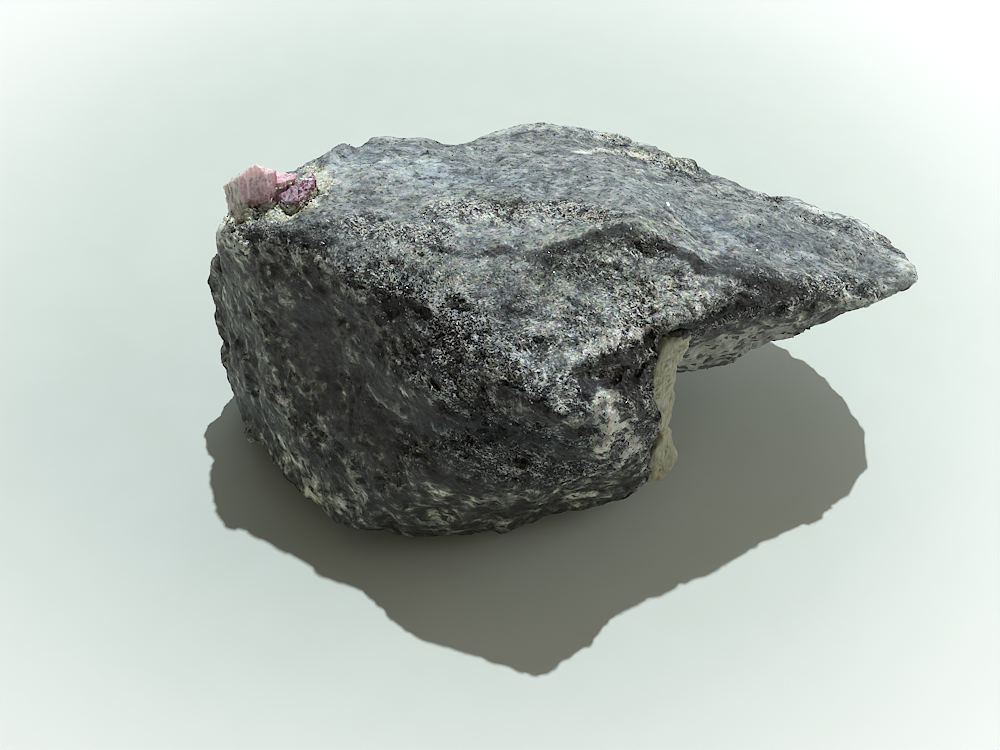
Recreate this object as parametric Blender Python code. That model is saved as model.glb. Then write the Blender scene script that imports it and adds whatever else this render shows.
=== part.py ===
"""Ruby in its matrix: a loose hand specimen of dark mica schist, 118 mm long, that lies on its broken
underside. A stub of ruby and a smaller ruby beside it stand out of the high left end, a wedge of the
same schist reaches out to the right over open space, and a thin cream feldspar seam crops out of the
block's right wall below that wedge. Metres; +X runs along the wedge, -Y is the shaded broken face and
+Z is up. Corners are written in millimetres, and the last step moves the origin under the middle."""

import bmesh
import bpy
from mathutils import Vector, noise

MM = 0.001

# Sizes of the whole block, in millimetres.
VOXEL = 0.8
GAP = 0.3
BLOCK_TRIANGLES = 7600
SEAM_TRIANGLES = 620
FOLIATION = Vector((0.10, -0.80, 0.57)).normalized()

# The block, corner by corner: the ridge between the lit slope and the shaded faces, the step above
# the lit slope, the far rim of the top, the outward bulges of the left end, the lower rim and the
# patch that it lies on.
RIDGE = (
    (-43, -6, 49.5), (-33, -13, 49), (-28, -17, 47), (-20, -22, 45.5), (-13, -28.5, 43.5),
    (-7, -31.5, 42.5), (-2, -33.5, 41.5), (3, -33.5, 40), (9, -30, 38),
)
STEP_LINE = (
    (-36, -4, 52), (-24, -13, 53), (-13, -15, 53.5), (-1, -13.5, 54.5), (10, -9, 54.5), (18, -12, 51),
)
FAR_RIM = (
    (-40, 12, 46), (-37, 17, 45), (-31, 24, 42.5), (-20, 25, 40), (-10, 27, 40), (-3, 30, 41),
    (8, 29.5, 39), (16, 29.5, 36.5), (24, 28.5, 33),
)
LEFT_END = (
    (-49.5, -2.5, 48), (-53.9, 2, 42.5), (-51, 11, 42.5), (-55.3, 2, 37), (-58.5, 4, 27), (-58, 1, 15),
    (-56.5, 0, 7), (-50, 20, 24),
)
LOWER_RIM = (
    (-55, -9, 5), (-48, -16.5, 5), (-42, -24.5, 5), (-35, -30.3, 4.5), (-20, -30, 5), (-10, -28.8, 4.5),
    (2, -26, 4.5), (11, -23.5, 5), (14.5, -21, 8), (15, -18, 16), (12, 8, 5), (-2, 25, 6),
    (-36, 20, 5), (-53, 7, 6),
)
HIDDEN_BACK = ((-39, 30, 25), (-14, 34, 27), (3, 35.5, 21), (14, 26, 20), (17, 0, 26))
RESTING_PATCH = (
    (-43, -7, -2), (-35, -16, -2), (-24, -21, -2), (-6, -19, -2), (6, -12, -2), (7, 2, -2),
    (-4, 15, -2), (-30, 13, -2), (-43, 3, -2),
)

# The wedge that reaches out to the right: its near edge, its far edge, its underside.
WEDGE = (
    (4, -13, 52), (18, -13, 50.5), (28, -13, 47.5), (12, -22, 46), (17, -19.5, 43.5), (22, -17, 43),
    (27, -15.5, 44), (35, -14, 44), (40, -11.5, 41), (43.4, -9.5, 38.5), (50.7, -6, 36),
    (55.6, -2, 33.7), (57.2, 3, 31), (58, 9, 28.8), (57.4, 13.6, 29.6), (52.8, 17, 28.4),
    (47.4, 22.6, 26.3), (40, 26, 26), (32, 28.5, 28.5), (24, 29, 32),
    (16, -15.5, 28), (21, -14.5, 28), (26, -12.5, 27.8), (31, -10.5, 27.6), (35.5, -9, 27.4),
    (40.5, -6, 28.2), (46, -3.4, 29), (52, -0.5, 29.6), (56, 2.5, 29.6),
    (18, 4, 20), (34, 12, 19), (44, 24.4, 21.5), (37, 30, 19), (26, 32, 17), (10, 24, 18), (54, 13, 25),
)

# Small bulges and hollows: centre, radii and how far the surface moves out (+) or in (-).
SWELLS = (
    ((-18, 27, 41), (11, 10, 7), -2.9),
    ((-2, 31, 41), (6, 7, 5), 0.4),
    ((-52, 5, 44), (5, 6, 4), -1.6),
    ((-59, 5, 27), (5, 8, 6), 0.8),
    ((-57, 0, 19), (4, 7, 3.5), -1.6),
    ((11.5, -28, 33), (4, 5, 5), 2.2),
    ((6, -31, 29), (6, 5, 9), 1.2),
    ((9, -25, 40.5), (8, 5, 2.2), -3.2),
    ((14, -21, 41), (3.5, 4, 3.5), -2.0),
    ((-21, -22, 44), (11, 8, 9), -2.1),
    ((-37, -18, 33), (17, 11, 17), -2.2),
    ((-22, -26, 26), (14, 7, 16), -1.4),
    ((-6, -29, 34), (9, 4, 5), -1.6),
    ((-14, -17.5, 51.5), (9, 2.6, 2.2), -1.3),
    ((3, -15, 52.5), (8, 2.6, 2.4), -1.6),
    ((12, -13, 52), (7, 2.8, 2.6), -1.8),
    ((27, -13.5, 46.5), (8, 2.4, 2.4), -1.5),
    ((-11, 0, 50), (4, 3, 3), -1.0),
    ((18, -13, 47), (5, 3, 2.5), 0.8),
    ((48, 0, 36.5), (7, 5, 4), -0.8),
    ((-30, 6, 49.5), (9, 5, 4), 0.9),
    ((22, 10, 42.5), (9, 6, 4), 0.7),
    ((-45, -4, 49.5), (5, 3, 3), 0.6),
)

# Smoother stretches, where the rock split along one layer of mica: centre and radii.
CALM = (
    ((-38, -19, 26), (24, 16, 28)),
    ((0, 10, 48), (44, 20, 9)),
)

# The feldspar seam, from its top in the crook of the wedge down to the faceted flake at its foot.
# Each row is a height, then the left and the right side of the strip that shows, as x and y.
SEAM = (
    (43.6, (15.8, -20.0), (17.4, -19.8)),
    (42.0, (14.6, -20.9), (18.4, -20.4)),
    (37.0, (13.3, -20.9), (17.4, -19.2)),
    (32.0, (12.8, -20.6), (17.0, -18.3)),
    (27.0, (13.2, -20.6), (17.2, -18.2)),
    (21.5, (15.0, -20.2), (17.6, -17.4)),
    (17.8, (15.9, -19.9), (17.0, -17.8)),
    (14.2, (14.9, -20.6), (18.2, -18.4)),
    (10.0, (14.2, -21.0), (19.4, -18.6)),
    (6.8, (14.4, -21.6), (18.0, -19.2)),
)
SEAM_DEPTH = 7.0
SEAM_SLANT = 3.2

# The two rubies. The large one is a tall six-sided stub with a lower step on its right; each row is
# a corner of the outline, as x and y, and the height of the broken top there.
LARGE_RUBY_STUB = (
    (-52.2, 2.8, 51.0), (-48.9, 0.4, 55.0), (-44.8, 0.4, 55.4), (-43.8, 3.2, 53.6),
    (-46.5, 6.4, 51.2), (-50.6, 6.2, 50.2), (-46.2, 1.2, 56.8),
)
LARGE_RUBY_STEP = (
    (-46.0, 0.8, 52.4), (-44.3, 2.0, 51.8), (-41.4, 4.2, 51.3), (-41.0, 5.4, 51.2), (-46.0, 5.8, 51.2),
)
LARGE_RUBY_SUNK = 39.5
SMALL_RUBY = (
    (-43.6, 0.7, 51.0), (-42.4, -0.9, 51.2), (-40.3, -0.8, 51.3), (-39.0, 1.0, 51.6),
    (-38.0, 3.4, 51.9), (-38.7, 5.0, 51.6),
)
SMALL_RUBY_SUNK = 44.5

for leftover in list(bpy.data.objects):
    bpy.data.objects.remove(leftover)


def stone_material(name, colour, roughness):
    material = bpy.data.materials.new(name)
    material.use_nodes = True
    shader = material.node_tree.nodes["Principled BSDF"]
    shader.inputs["Base Color"].default_value = (*colour, 1.0)
    shader.inputs["Roughness"].default_value = roughness
    shader.inputs["Metallic"].default_value = 0.0
    return material


def hull(name, corners):
    """The convex solid round these corners, in millimetres."""
    form = bmesh.new()
    for corner in corners:
        form.verts.new(Vector(corner))
    made = bmesh.ops.convex_hull(form, input=form.verts)
    inside = [item for item in made["geom_interior"] if isinstance(item, bmesh.types.BMVert)]
    bmesh.ops.delete(form, geom=inside, context="VERTS")
    unused = [vert for vert in form.verts if not vert.link_faces]
    bmesh.ops.delete(form, geom=unused, context="VERTS")
    bmesh.ops.recalc_face_normals(form, faces=form.faces)
    mesh = bpy.data.meshes.new(name)
    form.to_mesh(mesh)
    form.free()
    solid = bpy.data.objects.new(name, mesh)
    bpy.context.scene.collection.objects.link(solid)
    return solid


def wider(corners, out):
    """The corners moved outward six ways, for the hull of a socket."""
    steps = [Vector(step) * out for step in ((1, 0, 0), (0, 1, 0), (0, 0, 1))]
    return [Vector(corner) + side * step for corner in corners for step in steps for side in (-1, 1)]


def settle(solid):
    """Takes the modifiers of a solid into its mesh."""
    graph = bpy.context.evaluated_depsgraph_get()
    mesh = bpy.data.meshes.new_from_object(solid.evaluated_get(graph))
    solid.modifiers.clear()
    solid.data = mesh


def combine(solid, tool, operation):
    step = solid.modifiers.new(operation.title(), "BOOLEAN")
    step.operation = operation
    step.solver = "EXACT"
    step.use_self = True
    step.object = tool
    settle(solid)
    bpy.data.objects.remove(tool)


def even_skin(solid, voxel):
    step = solid.modifiers.new("Even skin", "REMESH")
    step.mode = "VOXEL"
    step.voxel_size = voxel
    settle(solid)
    step = solid.modifiers.new("Worn edges", "SMOOTH")
    step.factor = 0.5
    step.iterations = 4
    settle(solid)


def thin_out(solid, triangles):
    """Fewer, larger triangles, which follow the broken faces."""
    step = solid.modifiers.new("Triangles", "TRIANGULATE")
    settle(solid)
    step = solid.modifiers.new("Fewer faces", "DECIMATE")
    step.ratio = triangles / len(solid.data.polygons)
    settle(solid)


def swell(point, centre, radii):
    """1 at the middle of a soft ellipsoid, 0 outside it."""
    reach = Vector(((point[i] - centre[i]) / radii[i] for i in range(3))).length
    return (1 - reach * reach) ** 2 if reach < 1 else 0.0


def chips(point, size, seed):
    """Flat chips: each cell of a cracked pattern leans its own way."""
    spot = point / size + Vector((seed, 0, 0))
    middle = noise.voronoi(spot)[1][0]
    lean = noise.cell_vector(middle * 7.31) - Vector((0.5, 0.5, 0.5))
    return lean.dot(spot - middle) * 2


def ledges(point, spacing, seed):
    """The saw-tooth edges of the mica layers, which bend a little along the block."""
    bend = noise.noise(point / 21 + Vector((seed, 0, 0))) * 1.6
    layer = point.dot(FOLIATION) / spacing + bend
    return layer - noise.noise(Vector((layer, seed, 0)) * 0.5) * 0.4 - int(layer // 1) - 0.5


def break_up(solid):
    """Bends the even skin of the block into broken rock."""
    moved = []
    for vert in solid.data.vertices:
        point = vert.co.copy()
        calm = 1 - sum(0.75 * swell(point, centre, radii) for centre, radii in CALM)
        push = 1.5 * noise.noise(point / 17)
        push += 0.8 * noise.noise(point / 7.5 + Vector((5, 0, 0)))
        push += 1.0 * chips(point, 9, 3)
        push += 0.5 * chips(point, 4.5, 11)
        push += 0.45 * ledges(point, 6.5, 2)
        push += 0.28 * noise.noise(point / 3 + Vector((0, 9, 0)))
        push *= max(calm, 0.25)
        behind = min(max((point.y - 2) / 12, 0), 1) * min(max((33 - point.z) / 8, 0), 1)
        behind *= min(max((34 - point.x) / 12, 0), 1)
        push += behind * 2.6 * chips(point, 15, 21)
        for centre, radii, out in SWELLS:
            push += out * swell(point, centre, radii)
        moved.append(point + vert.normal * push)
    for vert, point in zip(solid.data.vertices, moved):
        vert.co = point
    solid.data.update()


def grown(solid, name, out):
    """A copy of a solid with every corner moved outward, which cuts its socket."""
    copy = bpy.data.objects.new(name, solid.data.copy())
    bpy.context.scene.collection.objects.link(copy)
    form = bmesh.new()
    form.from_mesh(copy.data)
    form.normal_update()
    shift = {vert: vert.normal * vert.calc_shell_factor() * out for vert in form.verts}
    for vert, step in shift.items():
        vert.co += step
    form.to_mesh(copy.data)
    form.free()
    return copy


# Rubies: every corner of the outline is also sunk straight down into the rock.
stub = list(LARGE_RUBY_STUB) + [(x, y, LARGE_RUBY_SUNK) for x, y, z in LARGE_RUBY_STUB]
step = list(LARGE_RUBY_STEP) + [(x, y, LARGE_RUBY_SUNK + 2) for x, y, z in LARGE_RUBY_STEP]
small = list(SMALL_RUBY) + [(x + 0.4, y + 0.3, SMALL_RUBY_SUNK) for x, y, z in SMALL_RUBY]
ruby_large = hull("ruby_crystal_large", stub)
combine(ruby_large, hull("step", step), "UNION")
ruby_small = hull("ruby_crystal_small", small)

# Block: the main mass and the wedge are one piece of rock.
block = hull(
    "schist_matrix",
    RIDGE + STEP_LINE + FAR_RIM + LEFT_END + LOWER_RIM + HIDDEN_BACK + RESTING_PATCH,
)
combine(block, hull("wedge", WEDGE), "UNION")
even_skin(block, VOXEL)
break_up(block)
thin_out(block, BLOCK_TRIANGLES)
under = hull("under", [(x, y, z) for x in (-90, 90) for y in (-70, 70) for z in (-20, 0)])
combine(block, under, "DIFFERENCE")

# Seam: one plate, joined from the short lengths between neighbouring rows.
lengths = []
for (z_top, left_top, right_top), (z_foot, left_foot, right_foot) in zip(SEAM, SEAM[1:]):
    corners = []
    for z, left, right in ((z_top, left_top, right_top), (z_foot, left_foot, right_foot)):
        corners.append((left[0], left[1], z))
        corners.append((right[0], right[1], z))
        corners.append((right[0] - SEAM_SLANT, right[1] + SEAM_DEPTH, z))
        corners.append((left[0] - SEAM_SLANT, left[1] + SEAM_DEPTH, z))
    lengths.append(hull("seam_length", corners))
seam = lengths[0]
seam.name = "feldspar_seam"
for piece in lengths[1:]:
    combine(seam, piece, "UNION")
even_skin(seam, 0.45)
moved = [
    vert.co + vert.normal * (0.35 * chips(vert.co, 3.2, 5) + 0.25 * noise.noise(vert.co / 2.2))
    for vert in seam.data.vertices
]
for vert, point in zip(seam.data.vertices, moved):
    vert.co = point
thin_out(seam, SEAM_TRIANGLES)

# Sockets, a hair wider than what stands in them.
combine(block, grown(seam, "seam_socket", GAP), "DIFFERENCE")
for corners in (stub, step):
    combine(ruby_small, hull("ruby_socket", wider(corners, GAP)), "DIFFERENCE")
for corners in (stub, step, small):
    combine(block, hull("ruby_socket", wider(corners, GAP)), "DIFFERENCE")

# Colours of the four pieces, then metres and the origin under the middle of the whole.
pieces = (
    (block, stone_material("mica_schist", (0.16, 0.17, 0.17), 0.6)),
    (seam, stone_material("cream_feldspar", (0.56, 0.50, 0.34), 0.45)),
    (ruby_large, stone_material("ruby_red", (0.52, 0.16, 0.22), 0.35)),
    (ruby_small, stone_material("ruby_purple", (0.36, 0.10, 0.30), 0.3)),
)
reach = [vert.co for piece, material in pieces for vert in piece.data.vertices]
middle_x = (min(point.x for point in reach) + max(point.x for point in reach)) / 2
middle_y = (min(point.y for point in reach) + max(point.y for point in reach)) / 2
for piece, material in pieces:
    piece.data.materials.clear()
    piece.data.materials.append(material)
    for vert in piece.data.vertices:
        vert.co = (vert.co - Vector((middle_x, middle_y, 0))) * MM
    piece.data.update()
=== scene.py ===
"""A hand specimen of mica schist with two ruby crystals in its upper left corner, on a pale board."""

import math

import bmesh
import bpy
import numpy as np
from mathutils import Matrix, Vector
from mathutils.bvhtree import BVHTree


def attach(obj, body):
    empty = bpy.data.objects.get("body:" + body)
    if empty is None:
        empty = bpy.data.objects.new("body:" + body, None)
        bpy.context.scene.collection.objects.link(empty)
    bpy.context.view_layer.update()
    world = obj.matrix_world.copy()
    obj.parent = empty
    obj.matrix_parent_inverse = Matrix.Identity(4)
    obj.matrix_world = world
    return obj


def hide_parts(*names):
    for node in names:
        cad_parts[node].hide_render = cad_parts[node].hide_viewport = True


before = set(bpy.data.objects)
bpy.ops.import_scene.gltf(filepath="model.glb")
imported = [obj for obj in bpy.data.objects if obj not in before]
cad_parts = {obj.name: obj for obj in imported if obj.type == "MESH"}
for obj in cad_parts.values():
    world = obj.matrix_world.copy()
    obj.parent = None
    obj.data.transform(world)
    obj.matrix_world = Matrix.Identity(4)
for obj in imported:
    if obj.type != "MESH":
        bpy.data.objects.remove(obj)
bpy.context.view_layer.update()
MM = 0.001


# Camera. It looks down 50 degrees onto the stone from the front, from about 250 mm away. The places of
# marks on the stone are given as they show in this view, 1000 by 750 pixels, and found on its skin.

CAMERA_PLACE = Vector((-9.93, -155.36, 194.58)) * MM
LOOKS_DOWN = 50
PICTURE = (1000, 750)
STONE_IS_WITHIN = range(160, 340, 2)      # mm from the camera


def put_in_scene(name, data):
    made = bpy.data.objects.new(name, data)
    bpy.context.scene.collection.objects.link(made)
    return made


lens = bpy.data.cameras.new("camera")
lens.lens = 50
lens.clip_start = 0.01
camera = put_in_scene("camera", lens)
camera.location = CAMERA_PLACE
camera.rotation_euler = (math.radians(90 - LOOKS_DOWN), 0, 0)
bpy.context.scene.camera = camera


def seen_at(pixel, *skins):
    """Where the line of sight through this pixel first meets a skin, or passes nearest to one, in mm."""
    focal = lens.lens / lens.sensor_width * PICTURE[0]
    across = pixel[0] - PICTURE[0] / 2
    up = PICTURE[1] / 2 - pixel[1]
    sight = Vector((across / focal, up / focal, -1)).normalized()
    sight.rotate(camera.rotation_euler)
    met = [skin.ray_cast(CAMERA_PLACE, sight) for skin in skins]
    met = [found for found in met if found[0] is not None]
    if not met:
        met = [skins[0].find_nearest(CAMERA_PLACE + sight * away * MM) for away in STONE_IS_WITHIN]
    return min(met, key=lambda found: found[3])[0] / MM


# Schist. The stone is one broken lump of mica schist: dark biotite and hornblende flakes with pale
# feldspar between them, all lying in one set of sheets that dips towards the front of the stone.
# It broke along those sheets in steps and chips, and everything else sits in it or on it.

SKIN_VOXEL = 0.37          # mm, the fine skin that the broken surface is cut from
SKIN_SMOOTHING = 7         # passes, enough to lose the edges of the plain solid's facets
SKIN_TRIANGLES = 192_000
THROUGH_SHEETS = Vector((0.10, -0.80, 0.57)).normalized()
DOWN_ARM = Vector((0.88, -0.20, -0.43))
ALONG_FLAKES = (DOWN_ARM.cross(THROUGH_SHEETS).cross(THROUGH_SHEETS) * -1).normalized()
ACROSS_FLAKES = THROUGH_SHEETS.cross(ALONG_FLAKES)
SHEET_SWIRLS = ((3.2, 9.0), (1.3, 2.6))       # how far the sheets waver and over what length, in mm
NEEDLE_SWIRLS = ((2.6, 9.0), (0.5, 3.0))
FACE_STREAKS = (Vector((0.42, -0.42, -0.80)), Vector((0.91, 0.19, 0.38)), Vector((0.0, -0.88, 0.47)))
FACE_SWIRLS = ((7.0, 14.0), (2.4, 4.0))

# Sizes in mm, along, across and through the sheets.
CHIP = (5.0, 3.2, 1.6)
SPLINTER = (2.4, 1.4, 0.9)
CRUMB = (1.4, 0.8, 0.65)
HOLLOW = (4.2, 2.4, 1.5)
BAND = (14, 7, 2.2)
CLUSTER = (2.4, 1.6, 1.2)
WISP = (3.2, 0.6, 0.45)
NEEDLE = (1.4, 0.15, 0.14)
GRAIN = (0.30, 0.24, 0.22)
SPECK = (0.44, 0.40, 0.38)
DASH = (2.6, 0.8, 0.5)
SMEAR = (5, 2.0, 1.7)
THREAD = (6, 0.5, 0.5)
NEEDLES_TURNED = (4, 52, -44)     # degrees, in the sheet


def join_corners(mesh):
    """Joins corners that lie on one spot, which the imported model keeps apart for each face."""
    shape = bmesh.new()
    shape.from_mesh(mesh)
    bmesh.ops.remove_doubles(shape, verts=shape.verts, dist=0.001 * MM)
    shape.to_mesh(mesh)
    shape.free()


def settle_modifiers(piece):
    """The piece's mesh becomes what its modifiers make of it."""
    graph = bpy.context.evaluated_depsgraph_get()
    finished = bpy.data.meshes.new_from_object(piece.evaluated_get(graph))
    piece.modifiers.clear()
    piece.data = finished
    finished.name = piece.name


def fine_skin(name, node, voxel, smoothing):
    """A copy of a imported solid, with an even fine skin and its facets' edges softened."""
    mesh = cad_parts[node].data.copy()
    mesh.materials.clear()
    join_corners(mesh)
    piece = put_in_scene(name, mesh)
    remesh = piece.modifiers.new("skin", "REMESH")
    remesh.mode = "VOXEL"
    remesh.voxel_size = voxel * MM
    soften = piece.modifiers.new("soften", "SMOOTH")
    soften.iterations = smoothing
    settle_modifiers(piece)
    return piece


def points_of(mesh):
    flat = np.empty(len(mesh.vertices) * 3, np.float32)
    mesh.vertices.foreach_get("co", flat)
    return flat.reshape(-1, 3).astype(float) / MM


def normals_of(mesh):
    flat = np.empty(len(mesh.vertices) * 3, np.float32)
    mesh.vertices.foreach_get("normal", flat)
    return flat.reshape(-1, 3).astype(float)


def move_points(piece, places):
    piece.data.vertices.foreach_set("co", (places * MM).astype(np.float32).ravel())
    piece.data.update()


def skin_of(piece):
    """The piece's skin as it now is, to look places up on."""
    return BVHTree.FromObject(piece, bpy.context.evaluated_depsgraph_get())


def near_line(points, line, reach):
    """1 on a line through these places, in mm, falling softly to 0 at that reach from it."""
    line = np.atleast_2d(np.array(line, float))
    nearest = np.linalg.norm(points - line[0], axis=1)
    for start, end in zip(line[:-1], line[1:]):
        run = end - start
        if not run.any():
            continue
        share = np.clip((points - start) @ run / (run @ run), 0, 1)
        nearest = np.minimum(nearest, np.linalg.norm(points - start - share[:, None] * run, axis=1))
    left = np.clip(1 - nearest / reach, 0, 1)
    return left * left * (3 - 2 * left)


def spread(mesh, values, passes):
    """Evens values out over the skin. Each pass gives a point the mean of itself and its neighbours."""
    ends = np.empty(len(mesh.edges) * 2, np.int32)
    mesh.edges.foreach_get("vertices", ends)
    first, second = ends.reshape(-1, 2).T
    count = len(values)
    share = 1 + np.bincount(first, minlength=count) + np.bincount(second, minlength=count)
    for _ in range(passes):
        around = np.bincount(first, values[second], count) + np.bincount(second, values[first], count)
        values = (values + around) / share
    return values


def paint(mesh, name, values):
    """Keeps one number for each point of the mesh, which its material reads by that name."""
    layer = mesh.attributes.new(name, "FLOAT", "POINT")
    layer.data.foreach_set("value", np.asarray(values, np.float32))


def painted_on(mesh, name):
    values = np.zeros(len(mesh.vertices), np.float32)
    mesh.attributes[name].data.foreach_get("value", values)
    return values


def add(tree, kind, inputs=(), **settings):
    """Adds a node to a tree. Its inputs go by name or number, and are values or other nodes' outputs."""
    made = tree.nodes.new(kind)
    for name, value in settings.items():
        setattr(made, name, value)
    for name, value in dict(inputs).items():
        if isinstance(value, bpy.types.NodeSocket):
            tree.links.new(value, made.inputs[name])
        else:
            made.inputs[name].default_value = value
    return made


def sums(tree, operation, *values):
    """One step of arithmetic on numbers or outputs."""
    return add(tree, "ShaderNodeMath", dict(enumerate(values)), operation=operation).outputs[0]


def added(tree, value, times, to):
    """The last of these, with so many times the value added to it."""
    return sums(tree, "MULTIPLY_ADD", value, times, to)


def vectors(tree, operation, *values):
    inputs = dict(zip((0, "Scale") if operation == "SCALE" else (0, 1, 2), values))
    made = add(tree, "ShaderNodeVectorMath", inputs, operation=operation)
    return made.outputs["Value" if operation in ("DOT_PRODUCT", "DISTANCE") else "Vector"]


def ramp(tree, value, low, high, to_low=0.0, to_high=1.0):
    """Carries the range low to high onto another range, and holds it there beyond both ends."""
    inputs = {"Value": value, "From Min": low, "From Max": high, "To Min": to_low, "To Max": to_high}
    return add(tree, "ShaderNodeMapRange", inputs).outputs["Result"]


def clouds(tree, place, size, detail=2.0, roughness=0.5, output=0):
    """Soft noise, about 0 to 1, in clumps about that many mm across, or that many along each axis."""
    if isinstance(size, tuple):
        place = vectors(tree, "MULTIPLY", place, tuple(1 / length for length in size))
        size = 1.0
    inputs = {"Vector": place, "Scale": 1 / size, "Detail": detail, "Roughness": roughness}
    return add(tree, "ShaderNodeTexNoise", inputs).outputs[output]


def in_sheets(tree, place, swirls, directions=(ALONG_FLAKES, ACROSS_FLAKES, THROUGH_SHEETS)):
    """The same place measured along, across and through the mica sheets, which waver by these swirls."""
    bent = place
    for swirl, size in swirls:
        centred = vectors(tree, "SUBTRACT", clouds(tree, place, size, 1.0, output="Color"), (0.5, 0.5, 0.5))
        bent = vectors(tree, "ADD", bent, vectors(tree, "SCALE", centred, swirl))
    axes = [vectors(tree, "DOT_PRODUCT", bent, tuple(axis)) for axis in directions]
    return add(tree, "ShaderNodeCombineXYZ", dict(enumerate(axes))).outputs[0]


def flakes(tree, sheet_place, size, turned=0):
    """Cells the size of flakes that lie in the sheets, turned in them by that many degrees:
    (a random colour for each, its tilt as a height)."""
    if turned:
        inputs = {"Vector": sheet_place, "Angle": math.radians(turned)}
        sheet_place = add(tree, "ShaderNodeVectorRotate", inputs, rotation_type="Z_AXIS").outputs[0]
    scaled = vectors(tree, "MULTIPLY", sheet_place, tuple(1 / length for length in size))
    cell = add(tree, "ShaderNodeTexVoronoi", {"Vector": scaled, "Scale": 1.0}, feature="F1")
    random = cell.outputs["Color"]
    inside = vectors(tree, "SUBTRACT", scaled, cell.outputs["Position"])
    lean = vectors(tree, "SUBTRACT", random, (0.5, 0.5, 0.5))
    return random, vectors(tree, "DOT_PRODUCT", inside, lean)


def channels(tree, random):
    """Three random numbers for each cell, from its random colour."""
    return add(tree, "ShaderNodeSeparateColor", {"Color": random}).outputs


def hollows_in(tree, sheets, inside, outside):
    """The value inside in the pits between the sheets, and the value outside elsewhere."""
    return ramp(tree, clouds(tree, sheets, HOLLOW, 3.0, 0.6), 0.36, 0.46, inside, outside)


def add_relief(piece, name, height_of):
    """Moves the piece's skin in and out by height_of(tree, place), in mm."""
    tree = bpy.data.node_groups.new(name, "GeometryNodeTree")
    tree.interface.new_socket("Geometry", in_out="INPUT", socket_type="NodeSocketGeometry")
    tree.interface.new_socket("Geometry", in_out="OUTPUT", socket_type="NodeSocketGeometry")
    came, went = add(tree, "NodeGroupInput"), add(tree, "NodeGroupOutput")
    place = vectors(tree, "SCALE", add(tree, "GeometryNodeInputPosition").outputs[0], 1 / MM)
    height = height_of(tree, place)
    outward = add(tree, "GeometryNodeInputNormal").outputs[0]
    move = vectors(tree, "SCALE", outward, sums(tree, "MULTIPLY", height, MM))
    moved = add(tree, "GeometryNodeSetPosition", {"Geometry": came.outputs[0], "Offset": move})
    tree.links.new(moved.outputs[0], went.inputs[0])
    piece.modifiers.new(name, "NODES").node_group = tree


def broken_schist(tree, place):
    """Chips and flakes that broke off along the sheets, with less of them where the stone is calm."""
    sheets = in_sheets(tree, place, SHEET_SWIRLS)
    lumps = sums(tree, "SUBTRACT", clouds(tree, place, 2.6, 3.0), 0.5)
    calm = add(tree, "GeometryNodeInputNamedAttribute", {"Name": "calm"}, data_type="FLOAT").outputs[0]
    height = sums(tree, "MULTIPLY", flakes(tree, sheets, CHIP)[1], 0.60)
    height = added(tree, flakes(tree, sheets, SPLINTER)[1], 0.75, height)
    height = added(tree, flakes(tree, sheets, CRUMB)[1], 0.55, height)
    height = added(tree, lumps, 1.0, height)
    height = sums(tree, "ADD", hollows_in(tree, sheets, -0.85, 0.0), height)
    return sums(tree, "MULTIPLY", height, ramp(tree, calm, 0.0, 1.0, 1.0, 0.25))


# Marks on the stone: each is a line of places in the camera's view, how far it reaches from that line
# in mm, and how strong it is. Pale ones are feldspar and calcite, and in part painted light on places that
# lie in shade (the left shoulder, the crust at the rubies' feet, the arm's tip). Black ones are biotite,
# and in part painted shade in clefts, under overhangs and below steps. Cream ones are the bare feldspar of
# the arm's underside. Tone marks lighten some places and darken others: partly the stone's own lighter and
# darker patches, partly painted light and painted shade. Warmth shifts the tint.
# The last three tell where the top is broken, where the dark steep face is, and the dull rock in front.
MARKS = {}
# Pale: feldspar and calcite, and in part painted light on places in shade: the left shoulder, the crust at
# the rubies' feet and the arm's tip.
MARKS["pale"] = [
    ([(330, 172), (380, 162), (430, 160)], 1.8, 0.6),
    ([(575, 152), (620, 150), (660, 158), (690, 172)], 1.8, 0.8),
    ([(535, 250), (560, 241), (585, 232), (602, 223)], 1.2, 0.5),
    ([(641, 217), (653, 221), (680, 224), (692, 236)], 1.0, 0.45),
    ([(690, 240), (712, 252), (733, 248), (758, 240)], 1.5, 0.55),
    ([(262, 214), (285, 214), (306, 208)], 2.2, 1.0),
    ([(330, 182), (318, 192), (312, 204)], 2.6, 0.9),
    ([(226, 222), (238, 238), (246, 254)], 2.4, 1.2),
    ([(216, 236), (222, 226), (238, 217)], 3.2, 1.3),
    ([(222, 224), (236, 218), (250, 212)], 2.0, 1.0),
    ([(248, 440), (274, 456), (286, 472)], 1.6, 0.6),
    ([(306, 488), (318, 500)], 2.0, 0.8),
    ([(432, 514), (452, 516)], 1.7, 0.9),
    ([(556, 492), (575, 496), (592, 494)], 2.0, 0.9),
    ([(606, 394), (616, 405), (618, 428), (606, 440)], 3.6, 1.2),
    ([(622, 418), (632, 438), (640, 452)], 2.0, 0.8),
    ([(312, 168), (322, 180), (318, 196)], 2.2, 1.0),
    ([(626, 452), (623, 464), (606, 472), (591, 475)], 1.1, 0.9),
    ([(834, 286), (852, 284)], 1.3, 0.5),
    ([(598, 404), (600, 430), (603, 456)], 2.2, 0.9),
    ([(862, 304), (876, 300)], 1.6, 1.0),
    ([(904, 270), (912, 280)], 2.0, 0.6),
    ([(262, 210), (285, 212), (306, 206), (318, 192)], 3.2, 1.2),
    ([(590, 350), (625, 342), (655, 330)], 2.6, 0.5),
]
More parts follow.
